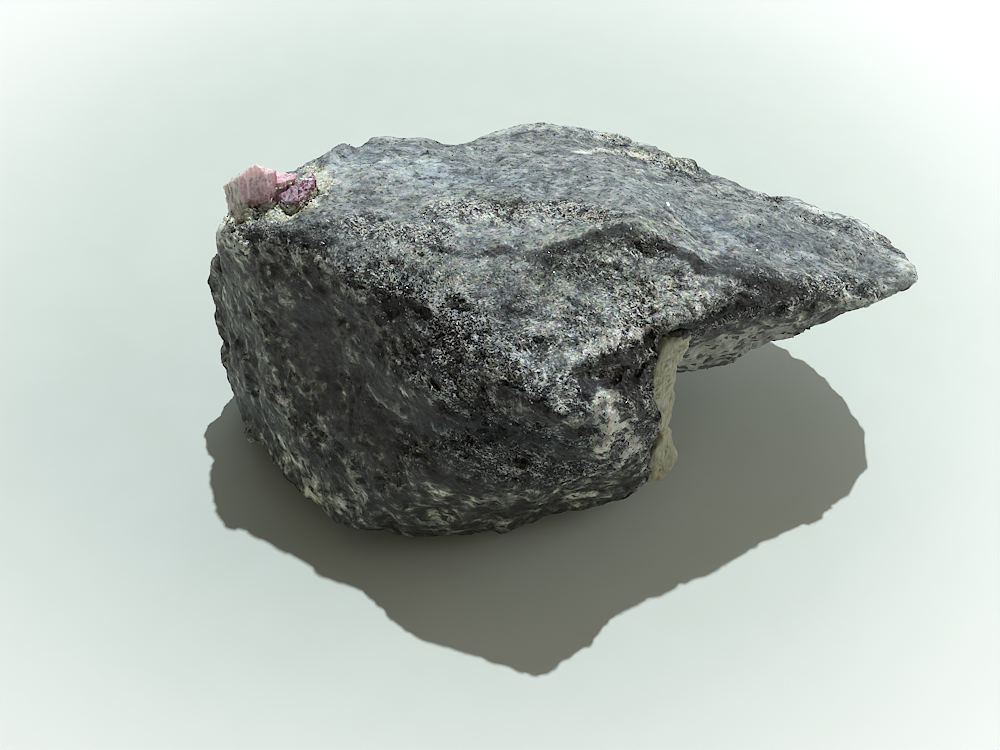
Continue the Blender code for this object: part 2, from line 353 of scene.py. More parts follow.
# Black: biotite, and in part painted shade in the clefts, under the arm's overhang and below the steps.
MARKS["black_and_painted_shade"] = [
    ([(388, 308), (405, 306), (424, 314)], 2.8, 0.9),
    ([(276, 236), (300, 238), (316, 246)], 2.0, 0.8),
    ([(490, 200), (510, 212), (530, 196)], 3.0, 0.45),
    ([(500, 213), (512, 222), (522, 226)], 1.0, 0.9),
    ([(530, 255), (555, 249), (587, 240), (617, 230), (644, 236), (680, 252), (705, 266)], 2.6, 0.75),
    ([(696, 328), (720, 316), (748, 304)], 2.3, 1.0),
    ([(748, 304), (778, 296), (808, 292)], 2.1, 0.55),
    ([(700, 262), (735, 274), (770, 284), (800, 287)], 2.4, 0.7),
    ([(440, 345), (470, 364), (510, 390), (545, 408)], 2.2, 0.7),
    ([(500, 247), (515, 252)], 1.3, 0.5),
    ([(548, 262), (575, 268)], 1.4, 0.5),
    ([(500, 308), (520, 312)], 1.5, 0.5),
    ([(665, 330), (690, 322)], 1.6, 0.9),
    ([(578, 372), (592, 384), (588, 396)], 1.9, 1.2),
    ([(592, 380), (622, 381), (650, 378), (662, 352)], 2.0, 1.2),
    ([(600, 369), (625, 366), (650, 361), (666, 345)], 1.7, 1.1),
    ([(602, 382), (626, 386), (642, 400)], 2.2, 0.9),
    ([(612, 359), (632, 351), (652, 342)], 1.9, 1.1),
    ([(430, 414), (470, 424), (520, 436)], 6.0, 0.6),
    ([(218, 262), (216, 300), (224, 345), (232, 376)], 2.0, 0.8),
    ([(640, 412), (652, 416), (660, 432)], 1.9, 0.9),
    ([(428, 350), (434, 380)], 2.4, 0.6),
    ([(430, 246), (470, 256), (505, 250)], 1.5, 0.6),
]
MARKS["cream"] = [
    ([(684, 356), (705, 352), (735, 342), (770, 332)], 5.5, 1.6),
    ([(690, 372), (715, 362), (745, 350), (780, 341)], 4.0, 1.6),
]
# Tone: partly the stone's own lighter and darker patches, partly painted light on places in shade and
# painted shade on others.
MARKS["tone"] = [
    ([(340, 158), (400, 172), (440, 172)], 8.0, 0.35),
    ([(232, 240), (262, 252)], 5.0, 0.5),
    ([(310, 320), (330, 370), (350, 420)], 9.0, -0.6),
    ([(380, 420), (430, 470)], 8.0, -0.6),
    ([(250, 270), (262, 330), (275, 390)], 6.0, 0.5),
    ([(280, 290), (300, 302)], 5.0, 0.4),
    ([(405, 277), (470, 322), (510, 356), (570, 408), (592, 424)], 2.6, 0.8),
    ([(576, 360), (604, 346), (640, 326)], 2.2, 0.8),
    ([(488, 304), (520, 304)], 3.0, -0.5),
    ([(505, 366), (565, 368)], 4.0, 0.5),
    ([(798, 318), (812, 313)], 2.5, 0.8),
    ([(250, 208), (262, 212), (280, 214)], 2.0, 1.0),
    ([(300, 206), (312, 196), (322, 184)], 3.0, 0.8),
    ([(815, 210), (845, 218), (868, 230)], 2.4, 1.0),
    ([(410, 262), (425, 285), (440, 302)], 2.0, -0.8),
    ([(398, 312), (410, 318)], 2.5, -0.6),
    ([(550, 266), (580, 262), (590, 284)], 3.5, -0.8),
    ([(605, 232), (625, 228)], 2.0, -0.7),
    ([(636, 278), (650, 282)], 3.0, -0.5),
    ([(725, 266), (768, 268)], 2.6, -1.2),
    ([(390, 225), (420, 226)], 4.0, 0.7),
    ([(552, 212), (570, 208)], 3.0, 0.8),
    ([(650, 232), (660, 244)], 3.0, 0.9),
    ([(535, 330), (548, 332)], 3.0, 0.5),
    ([(668, 318), (690, 312)], 3.0, 1.0),
    ([(608, 400), (614, 412), (616, 430)], 3.0, 0.9),
    ([(850, 304), (868, 302), (885, 294)], 3.0, 1.0),
    ([(395, 246), (410, 254)], 4.0, 0.5),
    ([(446, 296), (456, 306)], 3.0, 0.5),
    ([(515, 318), (530, 350)], 4.0, -0.7),
    ([(345, 140), (360, 150)], 3.0, -0.5),
    ([(585, 345), (640, 318), (660, 310)], 2.6, 0.6),
    ([(785, 312), (800, 308)], 3.0, 0.6),
    ([(904, 270), (914, 280)], 3.0, 0.9),
    ([(505, 460), (515, 466)], 4.0, 0.6),
    ([(336, 182), (346, 190)], 3.0, 0.7),
    ([(430, 508), (445, 514)], 3.0, 0.8),
    ([(505, 206), (515, 204)], 3.0, -0.5),
    ([(310, 228), (325, 240)], 3.0, -0.6),
    ([(480, 425), (520, 440)], 6.0, -0.3),
    ([(470, 500), (500, 500)], 5.0, 0.35),
    ([(600, 478), (630, 455), (640, 430)], 6.0, 0.7),
    ([(280, 440), (310, 480), (350, 510)], 8.0, 1.0),
    ([(320, 330), (345, 305)], 5.0, -0.4),
    ([(445, 200), (470, 215), (550, 215)], 6.0, 0.6),
    ([(610, 300), (650, 305), (695, 300)], 6.0, 0.6),
    ([(590, 470), (625, 455)], 5.0, 1.0),
    ([(495, 350), (515, 365)], 4.0, 0.6),
    ([(440, 290), (455, 302)], 4.0, 0.6),
    ([(480, 355), (500, 365)], 4.0, 0.5),
    ([(545, 320), (560, 330)], 5.0, 0.4),
    ([(470, 128), (540, 126), (640, 142)], 3.0, 0.8),
    ([(760, 195), (855, 225), (905, 262)], 3.5, 0.7),
    ([(222, 226), (234, 236)], 4.5, 1.3),
    ([(760, 235), (820, 250), (880, 270)], 9.0, -0.2),
    ([(390, 245), (410, 262)], 4.0, 0.5),
    ([(672, 296), (694, 304)], 4.0, 0.5),
    ([(444, 296), (460, 306)], 4.0, 0.4),
    ([(314, 334), (326, 352)], 6.0, -0.5),
    ([(300, 128), (320, 124)], 2.5, 0.5),
]
MARKS["warmth"] = [
    ([(550, 270), (600, 262), (650, 280)], 6.0, 0.5),
    ([(480, 195), (520, 205)], 5.0, 0.5),
    ([(540, 250), (600, 232), (650, 225), (690, 232)], 4.0, 0.7),
    ([(262, 212), (310, 208)], 4.0, 1.0),
    ([(430, 512), (456, 516)], 3.0, 1.0),
    ([(250, 440), (290, 470), (330, 510)], 5.0, 0.8),
    ([(640, 150), (690, 165)], 4.0, 0.7),
    ([(430, 265), (500, 275), (560, 290)], 5.0, 0.35),
    ([(360, 150), (430, 175), (520, 180)], 10.0, -0.6),
    ([(704, 224), (736, 232)], 4.0, -1.0),
    ([(640, 190), (720, 230), (800, 250)], 8.0, -0.4),
    ([(430, 420), (500, 440), (560, 445)], 6.0, -0.7),
    ([(405, 277), (470, 322), (510, 356), (570, 408)], 3.5, -0.6),
    ([(600, 386), (600, 420), (640, 430)], 4.0, -0.6),
]
MARKS["rough"] = [
    ([(440, 208), (480, 206), (540, 209), (600, 217)], 5.5, 1.0),
    ([(360, 226), (400, 232), (440, 236)], 4.5, 0.9),
]
MARKS["face"] = [
    ([(290, 370), (330, 400), (370, 440)], 10.0, 1.5),
    ([(290, 290), (320, 330)], 8.0, 1.0),
]
MARKS["front"] = [
    ([(695, 328), (740, 308), (800, 298)], 6.0, 1.3),
    ([(470, 455), (530, 470), (590, 470), (640, 440)], 10.0, 1.0),
    ([(450, 400), (520, 430), (600, 440)], 6.0, 0.9),
]


def marks(points, skin, lines):
    """How strongly each point of the skin is marked, from -1 to 1."""
    strength = np.zeros(len(points))
    for pixels, reach, most in lines:
        line = [seen_at(pixel, skin) for pixel in pixels]
        strength += most * near_line(points, line, reach)
    return np.clip(strength, -1, 1)


# Places where the plain solid's steps are worn flat, and how far that reaches in mm.
WORN = [
    ([(600, 284), (640, 287), (700, 292)], 6.0),
    ([(435, 268), (480, 272), (515, 268)], 5.5),
    ([(560, 262), (600, 262), (630, 268)], 4.5),
    ([(385, 300), (430, 308)], 5.0),
    ([(388, 248), (405, 262)], 4.0),
]
WEAR = 160                 # passes

# Places where the broad form is fuller or hollower than the plain solid: the line, how far from it,
# and by how many mm.
FORMS = [
    ([(560, 256), (583, 262), (606, 260)], 4.0, 0.6),
    ([(388, 310), (408, 310), (424, 317)], 1.8, -0.7),
    ([(592, 376), (622, 373), (648, 369)], 2.6, -1.6),
    ([(622, 354), (650, 352)], 2.6, -0.5),
    ([(500, 213), (512, 221), (522, 226)], 1.0, -0.5),
    ([(500, 206), (522, 196), (545, 190)], 1.8, -0.4),
    ([(216, 262), (214, 278)], 3.5, 1.3),
    ([(222, 320), (222, 336)], 3.0, 1.0),
    ([(232, 396), (240, 412)], 3.0, -0.6),
    ([(795, 334), (816, 330)], 3.0, -1.0),
    ([(668, 320), (692, 312), (712, 303)], 3.0, 1.2),
    ([(646, 404), (654, 416), (655, 430)], 3.0, 0.8),
    ([(246, 219), (255, 217), (265, 217)], 2.2, 1.2),
    ([(668, 158), (700, 168)], 3.0, 0.7),
]

# Places that stand that many mm nearer to the camera than on the plain solid, or further away where
# the number is below 0. The shadow's outline tells how far away they are.
DEPTHS = [
    ([(212, 262), (214, 300), (220, 340), (228, 380)], 12.0, -3.6),
    ([(812, 214), (835, 222), (852, 230)], 8.0, 2.4),
    ([(800, 296), (830, 292), (850, 290)], 5.0, -1.4),
    ([(226, 246), (242, 244)], 4.0, 1.6),
    ([(226, 234), (238, 236)], 3.4, 2.3),
    ([(222, 224), (236, 220), (248, 213)], 3.4, 1.8),
    ([(898, 288), (908, 290)], 6.0, 1.8),
    ([(248, 215), (262, 213), (280, 214), (298, 213)], 3.0, 1.3),
    ([(268, 205), (285, 207), (302, 202)], 2.4, 1.5),
]


def wear_flat(piece, skin, worn, passes):
    """Evens the skin out around each line, and leaves it as it is elsewhere."""
    places = points_of(piece.data)
    share = marks(places, skin, [(pixels, reach, 1.5) for pixels, reach in worn])[:, None]
    even = np.stack([spread(piece.data, places[:, axis], passes) for axis in range(3)], axis=1)
    move_points(piece, places + (even - places) * share)


def reshape(piece, skin, forms, depths):
    """Moves the skin out by the forms' amounts, and towards the camera by the depths' amounts."""
    places, outward = points_of(piece.data), normals_of(piece.data)
    nearer = np.array(CAMERA_PLACE / MM) - places
    nearer /= np.linalg.norm(nearer, axis=1)[:, None]
    for direction, lines in ((outward, forms), (nearer, depths)):
        for pixels, reach, amount in lines:
            line = [seen_at(pixel, skin) for pixel in pixels]
            places += direction * (amount * near_line(places, line, reach))[:, None]
    move_points(piece, places)


schist = fine_skin("schist", "schist_matrix", SKIN_VOXEL, SKIN_SMOOTHING)
skin = skin_of(schist)
wear_flat(schist, skin, WORN, WEAR)
reshape(schist, skin, FORMS, DEPTHS)
points, outward = points_of(schist.data), normals_of(schist.data)

# The upper side is calmer than the broken front: it follows the sheets for most of its width.
# So is the steep face at the front left, which is the darkest of the stone. On the right wall the
# flakes differ less from one another.
ARM_TOP = [([(700, 205), (790, 240), (880, 265)], 15.0, 1.4)]
SHOULDER = [([(222, 228), (238, 220), (262, 216), (300, 214)], 3.6, 1.3)]
UPPER_SPREAD = 60          # passes
STEEP_SPREAD = 120

lies_flat = np.clip((outward[:, 2] - 0.6) / 0.3, 0, 1) * np.clip((points[:, 2] - 38) / 6, 0, 1)
faces_back = np.clip((outward[:, 1] + 0.05) / 0.3, 0, 1) * np.clip(outward[:, 2] / 0.25, 0.5, 1)
upper = np.maximum(lies_flat, marks(points, skin, ARM_TOP))
upper = spread(schist.data, np.maximum(upper, faces_back), UPPER_SPREAD)
upper = upper * (1 - 0.5 * marks(points, skin, MARKS["rough"]))
stands_up = np.clip((0.58 - outward[:, 2]) / 0.25, 0, 1)
faces_left = np.clip((-outward[:, 1] - outward[:, 0] + 0.2) / 0.5, 0, 1)
steep = spread(schist.data, stands_up * faces_left, STEEP_SPREAD)
steep = np.maximum(steep, marks(points, skin, MARKS["face"]))
shoulder = marks(points, skin, SHOULDER)
upper = np.maximum(upper, shoulder * 0.85)
steep = steep * (1 - marks(points, skin, MARKS["front"])) * (1 - shoulder)
for name, lines in MARKS.items():
    paint(schist.data, name, marks(points, skin, lines))
right_wall = np.clip((outward[:, 0] - 0.3) / 0.3, 0, 1) * np.clip((32 - points[:, 2]) / 8, 0, 1)
paint(schist.data, "right_wall", right_wall)
paint(schist.data, "upper", upper)
paint(schist.data, "steep", steep)
paint(schist.data, "calm", np.maximum(np.maximum(upper * 0.95, steep), shoulder))

add_relief(schist, "broken_schist", broken_schist)
thin = schist.modifiers.new("thin", "DECIMATE")
thin.ratio = SKIN_TRIANGLES / (2 * len(schist.data.polygons))
settle_modifiers(schist)
rests = points_of(schist.data)
rests[:, 2] = np.maximum(rests[:, 2], 0)
move_points(schist, rests)
broken_skin = skin_of(schist)


def new_material(name):
    material = bpy.data.materials.new(name)
    material.use_nodes = True
    return material, material.node_tree, material.node_tree.nodes["Principled BSDF"]


def painted(tree, name):
    return add(tree, "ShaderNodeAttribute", attribute_name=name).outputs["Fac"]


def place_in_mm(tree):
    return vectors(tree, "SCALE", add(tree, "ShaderNodeTexCoord").outputs["Object"], 1 / MM)


def blend(tree, share, first, second, how="MIX"):
    """Colour: first where share is 0, second where it is 1."""
    inputs = {0: share, 6: first, 7: second}
    return add(tree, "ShaderNodeMix", inputs, data_type="RGBA", blend_type=how).outputs[2]


def shades(tree, value, stops):
    """A colour for each value from 0 to 1, from (value, red, green, blue) stops."""
    made = add(tree, "ShaderNodeValToRGB", {"Fac": value})
    band = made.color_ramp
    while len(band.elements) < len(stops):
        band.elements.new(0.5)
    for element, (at, *colour) in zip(band.elements, stops):
        element.position = at
        element.color = (*colour, 1)
    return made.outputs["Color"]


def broken_edge(tree, amount, noise, low=0.35, high=0.65):
    """Breaks the soft edge of a mark up along a noise."""
    return ramp(tree, added(tree, noise, 0.9, sums(tree, "SUBTRACT", amount, 0.45)), low, high)


def roughen(tree, shader, height, depth):
    """Makes the light play as if the skin went in and out by that height, times that depth in mm."""
    bump = add(tree, "ShaderNodeBump", {"Height": height, "Distance": depth * MM, "Strength": 1.0})
    tree.links.new(bump.outputs[0], shader.inputs["Normal"])


def tint(tree, share, colour, by):
    """The colour where share is 0, and that colour times another where it is 1."""
    return blend(tree, share, colour, blend(tree, 1.0, colour, by, "MULTIPLY"))


def off_middle(tree, noise):
    """How far a noise is above or below its middle."""
    return sums(tree, "SUBTRACT", noise, 0.5)


USUAL_LIGHT = 0.675        # the usual grey, on the scale of the two lists of shades below

material, tree, shader = new_material("mica_schist")
place = place_in_mm(tree)
sheets = in_sheets(tree, place, SHEET_SWIRLS)
straighter = in_sheets(tree, place, NEEDLE_SWIRLS)
needles = [flakes(tree, straighter, NEEDLE, turned) for turned in NEEDLES_TURNED]
picks = [channels(tree, random) for random, lean in needles]
grain_random, grain_lean = flakes(tree, sheets, GRAIN)
pick_grain = channels(tree, grain_random)
bands = clouds(tree, sheets, BAND, 3.0, 0.6)
wisps = clouds(tree, sheets, WISP, 2.0, 0.6)
upper, steep, front = painted(tree, "upper"), painted(tree, "steep"), painted(tree, "front")
either = sums(tree, "MAXIMUM", upper, steep)
patches = clouds(tree, sheets, 2.4, 4.0, 0.7)
even = clouds(tree, place, 2.2, 5.0, 0.7)
patches = added(tree, sums(tree, "SUBTRACT", even, patches), sums(tree, "MULTIPLY", upper, 0.9), patches)
clusters = clouds(tree, sheets, CLUSTER, 3.0, 0.66)
streaks = in_sheets(tree, place, FACE_SWIRLS, FACE_STREAKS)
smears = clouds(tree, streaks, SMEAR, 3.0, 0.55)
threads = clouds(tree, streaks, THREAD, 2.0, 0.5)
blots = clouds(tree, place, 4.5, 3.0, 0.55)
pale = broken_edge(tree, painted(tree, "pale"), patches, 0.25, 0.85)
black_and_painted_shade = broken_edge(tree, painted(tree, "black_and_painted_shade"), patches, 0.30, 0.75)
cream = broken_edge(tree, painted(tree, "cream"), patches, 0.40, 0.60)
speck_random = channels(tree, flakes(tree, place, SPECK)[0])
pale_specks = ramp(tree, speck_random[1], 0.88, 0.94, 0.0, 0.10)
specks = sums(tree, "SUBTRACT", pale_specks, ramp(tree, speck_random[0], 0.84, 0.90, 0.0, 0.16))

# How much each flake differs from its neighbours: most where the stone is broken, least where it is calm.
brightest = sums(tree, "MAXIMUM", sums(tree, "MAXIMUM", picks[0][0], picks[1][0]), picks[2][0])
needle = ramp(tree, brightest, 0.86, 0.97)
chance = added(tree, needle, 0.40, sums(tree, "POWER", pick_grain[0], 1.6))
chance = sums(tree, "SUBTRACT", chance, 0.56)
broken = sums(tree, "POWER", sums(tree, "SUBTRACT", 1.0, steep), 1.8)
broken = sums(tree, "MULTIPLY", sums(tree, "SUBTRACT", 1.0, upper), broken)
broken = sums(tree, "MULTIPLY", added(tree, painted(tree, "right_wall"), -0.55, 1.0), broken)
contrast = sums(tree, "MULTIPLY", sums(tree, "POWER", broken, 1.25), added(tree, front, -1.2, 2.0))
marked = sums(tree, "MAXIMUM", pale, black_and_painted_shade)
contrast = sums(tree, "MULTIPLY", contrast, added(tree, marked, -0.6, 1.0))
contrast = sums(tree, "ADD", contrast, added(tree, upper, 0.06, 0.02))

# How light the stone is: first each flake's chance, then what each thing adds and how much of it counts.
pale_clumps = ramp(tree, clusters, 0.55, 0.64, 0.0, 0.32)
clumps = sums(tree, "SUBTRACT", pale_clumps, ramp(tree, clusters, 0.40, 0.47, 0.50, 0.0))
veil = added(tree, ramp(tree, threads, 0.60, 0.74), 0.06, ramp(tree, smears, 0.34, 0.68, -0.12, 0.22))
light = added(tree, chance, contrast, USUAL_LIGHT)
for amount, share in (
    (upper, -0.005),
    (specks, upper),
    (steep, -0.37),
    (front, -0.21),
    (clumps, added(tree, upper, -0.78, 1.0)),
    (off_middle(tree, bands), added(tree, upper, -0.45, 0.55)),
    (off_middle(tree, patches), added(tree, steep, -0.68, added(tree, upper, -0.30, 0.92))),
    (off_middle(tree, blots), added(tree, steep, 0.90, 0.40)),
    # Painted shade: the pits between the sheets are darkened, most on the broken slope.
    (hollows_in(tree, sheets, 1.0, 0.0), added(tree, either, 0.22, -0.28)),
    (veil, steep),
    (ramp(tree, wisps, 0.58, 0.8), added(tree, either, -0.12, 0.16)),
    # Tone, pale and black marks: the stone's own patches, and painted light and painted shade.
    (painted(tree, "tone"), 0.25),
    (painted(tree, "rough"), 0.05),
    (pale, added(tree, front, 0.22, 0.32)),
    (black_and_painted_shade, -0.40),
):
    light = added(tree, amount, share, light)
bluish = shades(tree, light, [
    (0.05, 0.010, 0.010, 0.012),
    (0.25, 0.025, 0.027, 0.031),
    (0.45, 0.080, 0.088, 0.094),
    (0.62, 0.23, 0.25, 0.255),
    (0.82, 0.55, 0.57, 0.55),
    (1.00, 0.86, 0.85, 0.80),
])
olive = shades(tree, light, [
    (0.05, 0.012, 0.010, 0.011),
    (0.25, 0.030, 0.027, 0.028),
    (0.45, 0.082, 0.086, 0.072),
    (0.62, 0.22, 0.235, 0.19),
    (0.82, 0.52, 0.55, 0.46),
    (1.00, 0.84, 0.84, 0.72),
])
colour = blend(tree, steep, bluish, olive)

# The tint drifts a little from place to place, and is rusty in spots. It is olive on the steep face, and
# blue-grey on top, partly the rock's own colour and partly a painted sheen of mica mirroring the sky.
drift = vectors(tree, "SUBTRACT", clouds(tree, place, 1.1, 1.0, output="Color"), (0.5, 0.5, 0.5))
drift = vectors(tree, "MULTIPLY_ADD", drift, (0.54, 0.36, 0.64), (1, 1, 1))
tinted = blend(tree, 1.0, colour, drift, "MULTIPLY")
rusty = ramp(tree, blots, 0.48, 0.58)
rust = sums(tree, "MULTIPLY", ramp(tree, clouds(tree, place, 0.8, 1.0), 0.58, 0.66), rusty)
warmth = painted(tree, "warmth")
for share, by in (
    (sums(tree, "MULTIPLY", rust, broken), (1.35, 0.88, 0.60, 1)),
    # Painted sheen: the upper side turns blue-grey, partly its own colour and partly the sky mirrored by
    # mica.
    (sums(tree, "MULTIPLY", upper, 0.8), (0.90, 1.0, 1.02, 1)),
    (ramp(tree, warmth, 0.0, 1.0), (1.04, 1.03, 0.88, 1)),
    (ramp(tree, warmth, -1.0, 0.0, 1.0, 0.0), (0.88, 0.98, 1.10, 1)),
    (sums(tree, "MULTIPLY", pale, 0.5), (1.04, 1.03, 0.90, 1)),
):
    tinted = tint(tree, share, tinted, by)

# The bare feldspar of the underside, with black flakes drawn out along the arm.
dashes = channels(tree, flakes(tree, sheets, DASH)[0])[0]
bare = shades(tree, added(tree, off_middle(tree, clusters), 0.8, patches), [
    (0.30, 0.13, 0.14, 0.125), (0.48, 0.28, 0.285, 0.245), (0.68, 0.45, 0.45, 0.38)])
flecked = blend(tree, ramp(tree, dashes, 0.70, 0.78, 0.0, 0.93), bare, (0.030, 0.030, 0.028, 1))
tree.links.new(blend(tree, cream, tinted, flecked), shader.inputs["Base Color"])

height = sums(tree, "MULTIPLY", grain_lean, 0.26)
for random, lean in needles:
    height = added(tree, lean, 0.18, height)
height = added(tree, needle, 0.05, height)
height = added(tree, wisps, added(tree, upper, -0.10, 0.12), height)
height = sums(tree, "MULTIPLY", height, ramp(tree, steep, 0.0, 1.0, 1.0, 0.12))
height = sums(tree, "MULTIPLY", height, ramp(tree, upper, 0.0, 1.0, 1.25, 0.40))
roughen(tree, shader, height, 1.0)
tree.links.new(ramp(tree, picks[0][1], 0.0, 1.0, 0.28, 0.7), shader.inputs["Roughness"])
shader.inputs["IOR"].default_value = 1.58
schist.data.materials.append(material)
schist.data.shade_smooth()
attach(schist, "root")
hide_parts("schist_matrix")


# Feldspar seam. A thin vein of cream feldspar fills the crack between the block and its arm and shows
# as a strip down the front of the stone. It broke in small cleavage steps and is stained yellow-brown.

SEAM_VOXEL = 0.2           # mm
SEAM_SMOOTHING = 3         # passes
SEAM_GROWTH = 0.22         # mm, so that the vein meets the schist on both sides of its crack
SEAM_COVER = [             # where schist still sticks to it: the line, its reach in mm, how strongly
    ([(660, 326), (672, 326), (684, 330)], 3.0, 1.0),
    ([(654, 340), (652, 356), (650, 366)], 1.8, 1.0),
    ([(652, 404), (657, 416), (658, 430)], 1.2, 0.9),
]


def cleaved_feldspar(tree, place):
    """Flat cleavage steps, and a little roughness between them."""
    sheets = in_sheets(tree, place, SHEET_SWIRLS)
    steps = flakes(tree, sheets, (2.6, 1.6, 1.2))[1]
    small = flakes(tree, place, (0.9, 0.8, 1.0))[1]
    height = added(tree, small, 0.16, sums(tree, "MULTIPLY", steps, 0.45))
    return sums(tree, "ADD", height, SEAM_GROWTH)


seam = fine_skin("feldspar_vein", "feldspar_seam", SEAM_VOXEL, SEAM_SMOOTHING)
paint(seam.data, "covered", marks(points_of(seam.data), skin_of(seam), SEAM_COVER))
add_relief(seam, "cleaved_feldspar", cleaved_feldspar)
settle_modifiers(seam)

material, tree, shader = new_material("cream_feldspar")
place = place_in_mm(tree)
cleavage = clouds(tree, place, (0.35, 0.8, 2.6), 3.0, 0.6)
stain = clouds(tree, place, 3.0, 3.0, 0.6)
fleck = clouds(tree, place, 0.9, 2.0)
cream = shades(tree, cleavage, [
    (0.30, 0.62, 0.58, 0.44),
    (0.50, 0.72, 0.70, 0.57),
    (0.70, 0.82, 0.81, 0.72),
])
# The grains' shades run whiter and bluer than the seam's: partly their own colour, partly painted light
# lifting grains that lie in the rubies' shade.
grain_tint = shades(tree, painted(tree, "grain"), [
    (0.00, 0.56, 0.58, 0.52),
    (0.10, 0.50, 0.54, 0.40),
    (0.40, 0.98, 1.05, 0.98),
    (0.65, 1.15, 1.25, 1.30),
    (0.90, 1.20, 1.32, 1.48),
    (1.00, 0.14, 0.22, 0.34),
])
cream = blend(tree, 1.0, cream, grain_tint, "MULTIPLY")
stained = blend(tree, ramp(tree, stain, 0.49, 0.66, 0.0, 0.75), cream, (0.34, 0.28, 0.15, 1))
flecked = blend(tree, ramp(tree, fleck, 0.70, 0.76, 0.0, 0.85), stained, (0.05, 0.05, 0.045, 1))
covered = broken_edge(tree, painted(tree, "covered"), fleck, 0.45, 0.60)
schist_left = shades(tree, fleck, [(0.4, 0.02, 0.02, 0.02), (0.6, 0.09, 0.09, 0.085)])
tree.links.new(blend(tree, covered, flecked, schist_left), shader.inputs["Base Color"])
roughen(tree, shader, cleavage, 0.25)
tree.links.new(ramp(tree, stain, 0.3, 0.7, 0.35, 0.6), shader.inputs["Roughness"])
shader.inputs["Subsurface Weight"].default_value = 0.25
shader.inputs["Subsurface Radius"].default_value = (1.0, 0.75, 0.5)
shader.inputs["Subsurface Scale"].default_value = 1.2 * MM
shader.inputs["IOR"].default_value = 1.53
cream_feldspar = material
seam.data.materials.append(cream_feldspar)
seam.data.shade_smooth()
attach(seam, "root")
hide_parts("feldspar_seam")


# Rubies. Two stubs of corundum stand in the upper left corner: a larger pink-red one with a flat grey
# side and a broken, ribbed top, and a smaller purple one beside it. Both grew into the schist.

RUBY_VOXEL = 0.13          # mm
RUBY_SMOOTHING = 1         # passes
RUBY_HEIGHTS = (47.5, 55.5)     # mm above the ground, between which their colour turns paler
RUBY_LIGHT_DEPTH = 2.2     # mm that red light goes into the stone
RUBY_MARKS = {             # lines in the view, how far from them in mm, how strongly
    "ruby_crystal_large": {
        "stained": [([(231, 188), (232, 202)], 0.45, 1.0), ([(258, 190), (266, 198)], 1.3, 0.5)],
        # bleached: whitened corundum, and in part painted light on the large crystal's left facet, which
        # lies in shade
        "bleached_and_painted_light": [([(247, 176), (249, 198)], 0.35, 1.0), ([(247, 176), (258, 171)], 1.6, 0.8)],
    },
    "ruby_crystal_small": {
        "stained": [([(280, 195), (291, 193)], 1.3, 0.6)],
        "bleached_and_painted_light": [([(305, 178), (311, 179)], 0.7, 0.8)],
    },
}
RUBY_UP = (Vector((0.10, 0.10, 0.99)), Vector((0.99, 0, -0.10)), Vector((0, 0.99, -0.10)))


def broken_ruby(tree, place):
    """Small conchoidal chips, and the fine ribs of parting that run up the crystal."""
    upright = in_sheets(tree, place, ((0.5, 2.0),), RUBY_UP)
    ribs = clouds(tree, upright, (4.0, 0.55, 0.9), 1.0)
    chips = flakes(tree, place, (1.9, 1.7, 1.5))[1]
    crumbs = flakes(tree, place, (0.7, 0.7, 0.6))[1]
    height = added(tree, chips, 0.32, sums(tree, "MULTIPLY", off_middle(tree, ribs), 0.55))
    return added(tree, crumbs, 0.12, height)


def ruby_material(name, colours, side_from, side_colours):
    """Ribbed, cracked corundum: whitish where it is crushed, with its left side a colour of its own."""
    material, tree, shader = new_material(name)
    place = place_in_mm(tree)
    upright = in_sheets(tree, place, ((0.5, 2.0),), RUBY_UP)
    ribs = clouds(tree, upright, (3.0, 0.4, 0.6), 3.0, 0.6)
    crushed = clouds(tree, place, 0.8, 3.0, 0.65)
    depth = clouds(tree, place, 2.4, 3.0, 0.6)
    mixed = added(tree, crushed, 0.35, sums(tree, "MULTIPLY", depth, 0.30))
    mixed = added(tree, ribs, 0.35, mixed)
    axes = add(tree, "ShaderNodeSeparateXYZ", {"Vector": place}).outputs
    mixed = sums(tree, "ADD", mixed, ramp(tree, axes["Z"], *RUBY_HEIGHTS, -0.06, 0.05))
    body = shades(tree, mixed, colours)
    cracks = add(tree, "ShaderNodeTexVoronoi", {"Vector": place, "Scale": 0.9}, feature="DISTANCE_TO_EDGE")
    in_crack = ramp(tree, cracks.outputs["Distance"], 0.0, 0.07, 0.45, 0.0)
    cracked = blend(tree, in_crack, body, (0.92, 0.86, 0.86, 1))
    striped = shades(tree, ribs, side_colours)
    east = added(tree, off_middle(tree, depth), 1.2, axes["X"])
    sided = blend(tree, ramp(tree, east, side_from, side_from + 0.9), striped, cracked)
    # Bleached: whitened corundum, and in part painted light on the large crystal's left facet, which lies
    # in shade.
    bleached_and_painted_light = broken_edge(tree, painted(tree, "bleached_and_painted_light"), ribs)
    sided = blend(tree, sums(tree, "MULTIPLY", bleached_and_painted_light, 0.7), sided, (0.88, 0.80, 0.78, 1))
    stained = broken_edge(tree, painted(tree, "stained"), crushed)
    tree.links.new(blend(tree, sums(tree, "MULTIPLY", stained, 0.6), sided, (0.20, 0.09, 0.09, 1)),
                   shader.inputs["Base Color"])
    roughen(tree, shader, mixed, 0.22)
    tree.links.new(ramp(tree, depth, 0.3, 0.7, 0.40, 0.65), shader.inputs["Roughness"])
    shader.inputs["IOR"].default_value = 1.77
    shader.inputs["Subsurface Weight"].default_value = 0.8
    shader.inputs["Subsurface Radius"].default_value = (1.0, 0.6, 0.66)
    shader.inputs["Subsurface Scale"].default_value = RUBY_LIGHT_DEPTH * MM
    return material


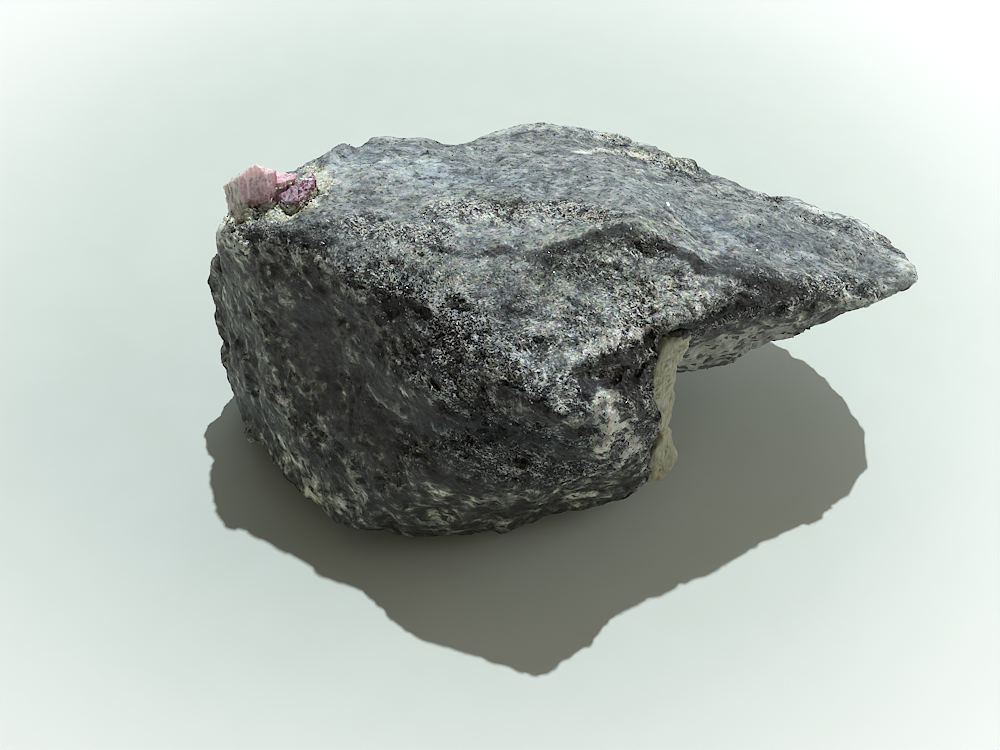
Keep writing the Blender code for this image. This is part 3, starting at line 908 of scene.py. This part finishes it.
PINK_RED = [
    (0.36, 0.37, 0.14, 0.21), (0.45, 0.52, 0.28, 0.36),
    (0.53, 0.59, 0.41, 0.47), (0.62, 0.70, 0.60, 0.62)]
GREY_SIDE = [(0.34, 0.26, 0.21, 0.20), (0.46, 0.50, 0.48, 0.44), (0.60, 0.70, 0.69, 0.63)]
PURPLE = [
    (0.38, 0.11, 0.035, 0.08), (0.50, 0.16, 0.06, 0.115),
    (0.60, 0.24, 0.11, 0.17), (0.72, 0.46, 0.33, 0.40)]
VIOLET_SIDE = [(0.32, 0.08, 0.05, 0.09), (0.48, 0.17, 0.11, 0.17), (0.66, 0.34, 0.27, 0.34)]
rubies = {
    # node: name, material name, colours, how far right the left side's colours reach in mm, and those
    # colours
    "ruby_crystal_large": ("ruby_stub_large", "ruby_red", PINK_RED, -49.6, GREY_SIDE),
    "ruby_crystal_small": ("ruby_stub_small", "ruby_purple", PURPLE, -41.6, VIOLET_SIDE),
}
ruby_skins = []
for node, (name, finish, colours, side_from, side_colours) in rubies.items():
    ruby = fine_skin(name, node, RUBY_VOXEL, RUBY_SMOOTHING)
    add_relief(ruby, name, broken_ruby)
    settle_modifiers(ruby)
    ruby_skins.append(skin_of(ruby))
    for mark, lines in RUBY_MARKS[node].items():
        paint(ruby.data, mark, marks(points_of(ruby.data), ruby_skins[-1], lines))
    ruby.data.materials.append(ruby_material(finish, colours, side_from, side_colours))
    ruby.data.shade_smooth()
    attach(ruby, "root")
    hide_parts(node)


# Grains. Cream grains of feldspar and calcite are packed round the feet of the rubies and lie along
# the pale streaks. Each is a small broken crystal, half sunk in the schist that it grew with.

GRAINS = [
    # line in the view, how far from it in mm, how many, size in mm, darkest and lightest
    ([(262, 208), (270, 208), (280, 209), (290, 210), (298, 211)], 0.9, 620, 0.42, 0.62, 0.90),
    ([(262, 216), (280, 219), (296, 217)], 0.8, 320, 0.38, 0.50, 0.88),
    ([(300, 204), (306, 209), (311, 206)], 0.7, 90, 0.42, 0.30, 0.60),
    ([(226, 219), (234, 221), (241, 217)], 0.8, 170, 0.55, 0.60, 0.85),
    ([(244, 207), (248, 212), (250, 222)], 0.7, 150, 0.55, 0.60, 0.85),
    ([(310, 200), (318, 188), (328, 178)], 1.4, 260, 0.36, 0.60, 0.88),
    ([(275, 191), (285, 186), (296, 180), (306, 175), (311, 173)], 0.15, 80, 0.42, 0.50, 0.75),
    ([(303, 171), (312, 168), (322, 170)], 0.9, 60, 0.45, 0.60, 0.75),
    ([(234, 236), (243, 243), (249, 254)], 0.6, 50, 0.50, 0.60, 0.90),
]
BLUE_GRAIN = ((258, 205), 1.3)      # place in the view, size in mm
BLUE_TONE = 1.0                     # at which the feldspar's shades are blue-grey
GRAIN_CORNERS = 10


def grain(shape, layer, centre, size, tone, chance):
    """A broken crystal: the outer skin of a few points, a little longer one way."""
    stretch = chance.uniform(0.6, 1.2, 3)
    corners = []
    for _ in range(GRAIN_CORNERS):
        corners.append(shape.verts.new((centre + chance.normal(0, 0.4, 3) * stretch * size) * MM))
        corners[-1][layer] = tone
    hull = bmesh.ops.convex_hull(shape, input=corners)
    inner = [part for part in hull["geom_interior"] if isinstance(part, bmesh.types.BMVert)]
    bmesh.ops.delete(shape, geom=inner, context="VERTS")


def loose_pieces(name, shape, material):
    """Puts many small solids in the scene as one piece of the stone."""
    mesh = bpy.data.meshes.new(name)
    shape.to_mesh(mesh)
    shape.free()
    made = put_in_scene(name, mesh)
    made.data.materials.append(material)
    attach(made, "root")


chance = np.random.default_rng(7)
shape = bmesh.new()
layer = shape.verts.layers.float.new("grain")
solids = (broken_skin, *ruby_skins)
for pixels, spread_out, count, size, darkest, lightest in GRAINS:
    line = [np.array(seen_at(pixel, *solids)) for pixel in pixels]
    for _ in range(count):
        along = chance.uniform(0, len(line) - 1.001)
        start = int(along)
        centre = line[start] + (line[start + 1] - line[start]) * (along - start)
        aside = Vector(centre + chance.normal(0, spread_out * 0.5, 3)) * MM
        foot = min((solid.find_nearest(aside) for solid in solids), key=lambda found: found[3])[0] / MM
        across = size * chance.uniform(0.5, 1.2)
        grain(shape, layer, np.array(foot), across, chance.uniform(darkest, lightest), chance)
grain(shape, layer, np.array(seen_at(BLUE_GRAIN[0], *solids)), BLUE_GRAIN[1], BLUE_TONE, chance)
loose_pieces("feldspar_grains", shape, cream_feldspar)


# Mica. Loose-lying flakes of biotite and muscovite cover the broken surface. Each is a thin plate at
# its own small tilt, so a few of them mirror the lamp and flash white, wherever one looks from.

MICA_FLAKES = 15_000
FLAKE_SIZE = (0.22, 0.55)      # mm
FLAKE_THICKNESS = 0.05         # mm
MOST_TILT = 0.75               # sideways part of a flake's direction, for 1 part outwards
LIGHT_TRAVELS = Vector((-0.114, -0.400, -0.909))
FEWER_ON_TOP = 0.65            # share of the flakes that the calm upper side is without
FLASH_RAISED = 0.4             # mm, so that it stands clear of the pits
FLASH_TONE = 0.9
FLASHES = [
    # place in the view and size in mm
    ((668, 204), 1.0), ((641, 217), 0.6), ((492, 181), 0.6), ((529, 139), 0.5), ((796, 273), 0.5),
    ((471, 405), 0.5), ((611, 145), 0.4), ((619, 168), 0.4), ((631, 168), 0.4), ((700, 199), 0.4),
    ((447, 211), 0.5),
]


def flake(shape, layer, centre, outward, size, tone, chance):
    """A thin plate with five corners, and a slight rise in the middle of each side."""
    across = np.cross(outward, chance.normal(0, 1, 3))
    across /= np.linalg.norm(across)
    along = np.cross(outward, across)
    turns = (np.arange(5) + chance.uniform(-0.3, 0.3, 5)) * (2 * math.pi / 5)
    spokes = [across * 0.6 * math.sin(turn) + along * math.cos(turn) for turn in turns]
    rim = [shape.verts.new((centre + size / 2 * spoke) * MM) for spoke in spokes]
    top = shape.verts.new((centre + outward * FLAKE_THICKNESS / 2) * MM)
    under = shape.verts.new((centre - outward * FLAKE_THICKNESS / 2) * MM)
    for corner in (*rim, top, under):
        corner[layer] = tone
    for first, second in zip(rim, rim[1:] + rim[:1]):
        shape.faces.new((first, second, top))
        shape.faces.new((second, first, under))


chance = np.random.default_rng(11)
shape = bmesh.new()
layer = shape.verts.layers.float.new("grain")
places, outward = points_of(schist.data), normals_of(schist.data)
calm = np.maximum(painted_on(schist.data, "steep"), painted_on(schist.data, "upper") * FEWER_ON_TOP)
kept = chance.uniform(0, 1, len(places)) > np.maximum(calm, painted_on(schist.data, "black_and_painted_shade"))
kept &= places[:, 2] > FLAKE_SIZE[1]
for number in chance.choice(np.flatnonzero(kept), MICA_FLAKES, replace=False):
    lean = outward[number] + chance.uniform(-MOST_TILT, MOST_TILT, 3) * chance.uniform(0, 1)
    lean /= np.linalg.norm(lean)
    flake(shape, layer, places[number], lean, chance.uniform(*FLAKE_SIZE), chance.uniform(0, 1), chance)
for pixel, size in FLASHES:
    place = np.array(seen_at(pixel, broken_skin))
    to_camera = (CAMERA_PLACE / MM - Vector(place)).normalized()
    mirror = np.array((to_camera - LIGHT_TRAVELS).normalized())
    flake(shape, layer, place + np.array(to_camera) * FLASH_RAISED, mirror, size, FLASH_TONE, chance)

material, tree, shader = new_material("mica")
sheen = clouds(tree, place_in_mm(tree), 0.5, 2.0)
silver = shades(tree, painted(tree, "grain"), [
    (0.00, 0.010, 0.010, 0.012),
    (0.55, 0.030, 0.032, 0.034),
    (0.62, 0.30, 0.31, 0.31),
    (0.90, 0.62, 0.63, 0.60),
    (1.00, 0.70, 0.60, 0.50),
])
dulled = blend(tree, ramp(tree, sheen, 0.3, 0.7, 0.0, 0.5), silver, (0.08, 0.08, 0.08, 1))
tree.links.new(dulled, shader.inputs["Base Color"])
tree.links.new(ramp(tree, sheen, 0.3, 0.7, 0.16, 0.34), shader.inputs["Roughness"])
shader.inputs["IOR"].default_value = 1.60
loose_pieces("mica_flakes", shape, material)


# Floor. A plain pale board, which is no part of the stone. It is painted greyer round the stone and paler
# further out: painted shade near the stone and painted light towards the edges.

BOARD_HALF = 2.0           # m
SHADED_MIDDLE = (-18, 32, 0)    # mm; the board is greyer round the stone, and pale further out
SHADED_REACH = (62, 150)        # mm, where it starts to turn pale and where it is pale
board = bpy.data.meshes.new("board")
corners = [(x * BOARD_HALF, y * BOARD_HALF, 0) for x, y in ((-1, -1), (1, -1), (1, 1), (-1, 1))]
board.from_pydata(corners, [], [(0, 1, 2, 3)])
floor = put_in_scene("floor", board)
material, tree, shader = new_material("pale_board")
place = place_in_mm(tree)
away = vectors(tree, "DISTANCE", place, SHADED_MIDDLE)
reach = {"Value": away, "From Min": SHADED_REACH[0], "From Max": SHADED_REACH[1]}
outside = add(tree, "ShaderNodeMapRange", reach, interpolation_type="SMOOTHSTEP").outputs["Result"]
mottle = clouds(tree, place, 9.0, 4.0)
pale_grey = shades(tree, mottle, [(0.35, 0.535, 0.605, 0.575), (0.65, 0.547, 0.618, 0.590)])
tree.links.new(blend(tree, outside, pale_grey, (0.79, 0.82, 0.81, 1)), shader.inputs["Base Color"])
shader.inputs["Roughness"].default_value = 0.8
board.materials.append(material)


# Light. A hard key lamp high behind the right of the stone, a soft warm one at its right, a soft cool
# one behind it, and even light from all round.

SOFT_LAMPS_AIM_AT = Vector((0, 0, 0.02))      # m

key = bpy.data.lights.new("key_lamp", "SUN")
key.energy = 2.95
key.color = (0.96, 0.99, 1.01)
key.angle = math.radians(0.9)
lamp = put_in_scene("key_lamp", key)
lamp.rotation_euler = LIGHT_TRAVELS.to_track_quat("-Z", "Y").to_euler()
for name, size, energy, colour, place in (
    ("side_lamp", 0.5, 1.5, (1.0, 0.95, 0.85), Vector((0.58, 0.10, 0.30))),
    ("back_lamp", 0.9, 2.0, (0.92, 1.0, 1.02), Vector((-0.05, 0.75, 0.55))),
):
    soft = bpy.data.lights.new(name, "AREA")
    soft.shape = "DISK"
    soft.size = size
    soft.energy = energy
    soft.color = colour
    lamp = put_in_scene(name, soft)
    lamp.location = place
    lamp.rotation_euler = (SOFT_LAMPS_AIM_AT - place).to_track_quat("-Z", "Y").to_euler()
world = bpy.data.worlds.new("soft_light")
world.use_nodes = True
background = world.node_tree.nodes["Background"]
background.inputs["Color"].default_value = (1.0, 0.92, 0.72, 1)
background.inputs["Strength"].default_value = 0.165
bpy.context.scene.world = world
bpy.context.scene.view_settings.view_transform = "Standard"

# The picture is a little sharpened, as the photograph was.
bpy.context.scene.use_nodes = True
picture = bpy.context.scene.node_tree
picture.nodes.clear()
taken = picture.nodes.new("CompositorNodeRLayers")
sharper = picture.nodes.new("CompositorNodeFilter")
sharper.filter_type = "SHARPEN_DIAMOND"
sharper.inputs["Fac"].default_value = 0.25
shown = picture.nodes.new("CompositorNodeComposite")
picture.links.new(taken.outputs["Image"], sharper.inputs["Image"])
picture.links.new(sharper.outputs["Image"], shown.inputs["Image"])
